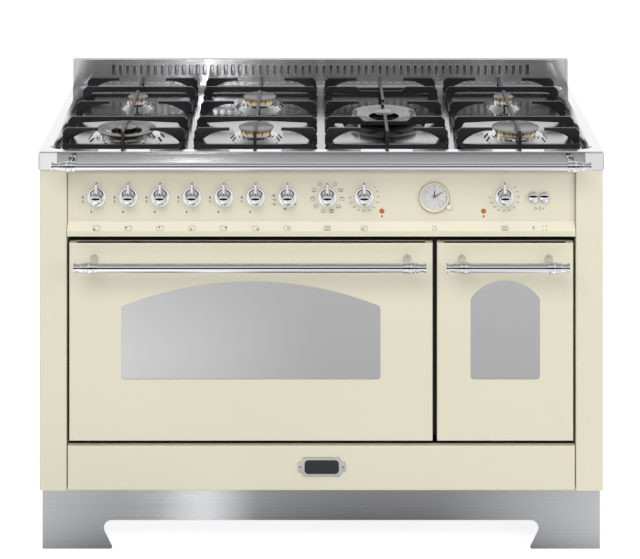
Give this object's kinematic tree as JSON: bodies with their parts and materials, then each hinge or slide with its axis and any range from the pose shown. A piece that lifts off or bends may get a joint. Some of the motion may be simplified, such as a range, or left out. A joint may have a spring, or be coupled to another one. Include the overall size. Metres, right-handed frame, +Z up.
{
  "type": "range cooker",
  "caption": "Wide free-standing range cooker: gas hob with cast pan supports above side-by-side glazed ovens with drop-down doors, lever knobs, a clock and a storage drawer.",
  "frame": {"origin": "on the floor, under the middle of the overall box", "axes": "+X to the right seen from the front, +Y from the doors to the rear, +Z up"},
  "size_m": [1.2, 0.668, 0.909],
  "materials": {
    "cream_enamel": "gloss enamel",
    "brushed_steel": "brushed",
    "polished_steel": "bright rolled",
    "galvanised": "galvanised sheet",
    "chrome": "polished",
    "black_enamel": "satin enamel",
    "cap_enamel": "satin enamel",
    "cast_iron": "matt black enamel",
    "tinted_glass": "mirror tint",
    "brass": "machined",
    "aluminium": "drawn tube",
    "wool": "mineral wool blanket",
    "gasket": "matt",
    "ceramic": null,
    "amber": "translucent lens",
    "dark_plastic": "moulded",
    "hand_black": "matt"
  },
  "bodies": {
    "cabinet": {"plinth": "brushed_steel", "levelling_feet": "galvanised", "side_panels": "cream_enamel", "base_tray": "galvanised", "rear_panel": "galvanised", "front_frame": "black_enamel", "large_oven_liner": "black_enamel", "small_oven_liner": "black_enamel", "insulation": "wool", "door_gaskets": "gasket", "oven_shelves": "chrome", "grill_elements": "black_enamel", "fan_cover": "black_enamel", "fan_motor": "galvanised", "door_hinges": "galvanised", "hob_rail": "chrome", "control_panel": "cream_enamel", "pilot_lamps": "amber", "clock_case": "cream_enamel", "gas_rail": "galvanised", "gas_taps": "brass", "gas_pipes": "aluminium", "switch_bodies": "dark_plastic", "terminal_box": "dark_plastic", "hob_top": "polished_steel", "burner_bodies": "aluminium", "burner_crowns": "brass", "burner_caps": "cap_enamel", "spark_plugs": "ceramic", "backguard": "brushed_steel"},
    "large_door": {"large_door_skin": "cream_enamel", "large_door_glass": "tinted_glass", "large_door_liner": "black_enamel", "large_door_handle": "chrome"},
    "small_door": {"small_door_skin": "cream_enamel", "small_door_glass": "tinted_glass", "small_door_liner": "black_enamel", "small_door_handle": "chrome"},
    "drawer": {"drawer_front": "cream_enamel", "drawer_box": "galvanised"},
    "gas_knob_1": {"gas_knob_1": "chrome"},
    "gas_knob_2": {"gas_knob_2": "chrome"},
    "gas_knob_3": {"gas_knob_3": "chrome"},
    "gas_knob_4": {"gas_knob_4": "chrome"},
    "gas_knob_5": {"gas_knob_5": "chrome"},
    "gas_knob_6": {"gas_knob_6": "chrome"},
    "gas_knob_7": {"gas_knob_7": "chrome"},
    "function_knob": {"function_knob": "chrome"},
    "large_oven_knob": {"large_oven_knob": "chrome"},
    "small_oven_knob": {"small_oven_knob": "chrome"},
    "light_button": {"light_button": "chrome"},
    "spit_button": {"spit_button": "chrome"},
    "hour_hand": {"hour_hand": "hand_black"},
    "minute_hand": {"minute_hand": "hand_black"},
    "clock_setter": {"clock_setter": "chrome"},
    "oven_fan": {"oven_fan": "galvanised"},
    "pan_support_1": {"pan_support_1": "cast_iron"},
    "pan_support_2": {"pan_support_2": "cast_iron"},
    "pan_support_3": {"pan_support_3": "cast_iron"},
    "pan_support_4": {"pan_support_4": "cast_iron"}
  },
  "joints": [
    {"name": "large_door_drop", "type": "hinge", "parent": "cabinet", "child": "large_door", "pos_m": [-0.149, -0.245, 0.2505], "axis": [1, 0, 0], "range_deg": [0, 90], "stiffness_Nm_per_rad": 8, "springref_deg": -17.19},
    {"name": "small_door_drop", "type": "hinge", "parent": "cabinet", "child": "small_door", "pos_m": [0.38975, -0.245, 0.2505], "axis": [1, 0, 0], "range_deg": [0, 90], "stiffness_Nm_per_rad": 3.5, "springref_deg": -17.19},
    {"name": "drawer_slide", "type": "slide", "parent": "cabinet", "child": "drawer", "axis": [0, -1, 0], "range_m": [0, 0.3]},
    {"name": "gas_knob_1_turn", "type": "hinge", "parent": "cabinet", "child": "gas_knob_1", "pos_m": [-0.4767, -0.252, 0.7505], "axis": [0, -1, 0], "range_deg": [0, 200]},
    {"name": "gas_knob_2_turn", "type": "hinge", "parent": "cabinet", "child": "gas_knob_2", "pos_m": [-0.4092, -0.252, 0.7505], "axis": [0, -1, 0], "range_deg": [0, 200]},
    {"name": "gas_knob_3_turn", "type": "hinge", "parent": "cabinet", "child": "gas_knob_3", "pos_m": [-0.3417, -0.252, 0.7505], "axis": [0, -1, 0], "range_deg": [0, 200]},
    {"name": "gas_knob_4_turn", "type": "hinge", "parent": "cabinet", "child": "gas_knob_4", "pos_m": [-0.2742, -0.252, 0.7505], "axis": [0, -1, 0], "range_deg": [0, 200]},
    {"name": "gas_knob_5_turn", "type": "hinge", "parent": "cabinet", "child": "gas_knob_5", "pos_m": [-0.2067, -0.252, 0.7505], "axis": [0, -1, 0], "range_deg": [0, 200]},
    {"name": "gas_knob_6_turn", "type": "hinge", "parent": "cabinet", "child": "gas_knob_6", "pos_m": [-0.1392, -0.252, 0.7505], "axis": [0, -1, 0], "range_deg": [0, 200]},
    {"name": "gas_knob_7_turn", "type": "hinge", "parent": "cabinet", "child": "gas_knob_7", "pos_m": [-0.0717, -0.252, 0.7505], "axis": [0, -1, 0], "range_deg": [0, 200]},
    {"name": "function_knob_turn", "type": "hinge", "parent": "cabinet", "child": "function_knob", "pos_m": [0.013, -0.252, 0.7505], "axis": [0, 1, 0], "continuous": true},
    {"name": "large_oven_knob_turn", "type": "hinge", "parent": "cabinet", "child": "large_oven_knob", "pos_m": [0.091, -0.252, 0.7505], "axis": [0, 1, 0], "range_deg": [0, 275]},
    {"name": "small_oven_knob_turn", "type": "hinge", "parent": "cabinet", "child": "small_oven_knob", "pos_m": [0.389, -0.252, 0.7505], "axis": [0, 1, 0], "range_deg": [0, 275]},
    {"name": "light_button_press", "type": "slide", "parent": "cabinet", "child": "light_button", "axis": [0, 1, 0], "range_m": [0, 0.003], "stiffness_N_per_m": 300, "springref_m": -0.002},
    {"name": "spit_button_press", "type": "slide", "parent": "cabinet", "child": "spit_button", "axis": [0, 1, 0], "range_m": [0, 0.003], "stiffness_N_per_m": 300, "springref_m": -0.002},
    {"name": "minute_hand_turn", "type": "hinge", "parent": "cabinet", "child": "minute_hand", "pos_m": [0.24, -0.252, 0.7505], "axis": [0, 1, 0], "continuous": true},
    {"name": "hour_hand_turn", "type": "hinge", "parent": "cabinet", "child": "hour_hand", "pos_m": [0.24, -0.252, 0.7505], "axis": [0, 1, 0], "continuous": true},
    {"name": "clock_setter_turn", "type": "hinge", "parent": "cabinet", "child": "clock_setter", "pos_m": [0.2705, -0.252, 0.732], "axis": [0, 1, 0], "continuous": true},
    {"name": "oven_fan_spin", "type": "hinge", "parent": "cabinet", "child": "oven_fan", "pos_m": [-0.149, 0.207, 0.459], "axis": [0, -1, 0], "continuous": true},
    {"name": "pan_support_1_lift", "type": "slide", "parent": "cabinet", "child": "pan_support_1", "axis": [0, 0, 1], "range_m": [0, 0.12]},
    {"name": "pan_support_2_lift", "type": "slide", "parent": "cabinet", "child": "pan_support_2", "axis": [0, 0, 1], "range_m": [0, 0.12]},
    {"name": "pan_support_3_lift", "type": "slide", "parent": "cabinet", "child": "pan_support_3", "axis": [0, 0, 1], "range_m": [0, 0.12]},
    {"name": "pan_support_4_lift", "type": "slide", "parent": "cabinet", "child": "pan_support_4", "axis": [0, 0, 1], "range_m": [0, 0.12]}
  ],
  "couplings": [
    {"joint": "hour_hand_turn", "follows": "minute_hand_turn", "ratio": 0.083333}
  ]
}
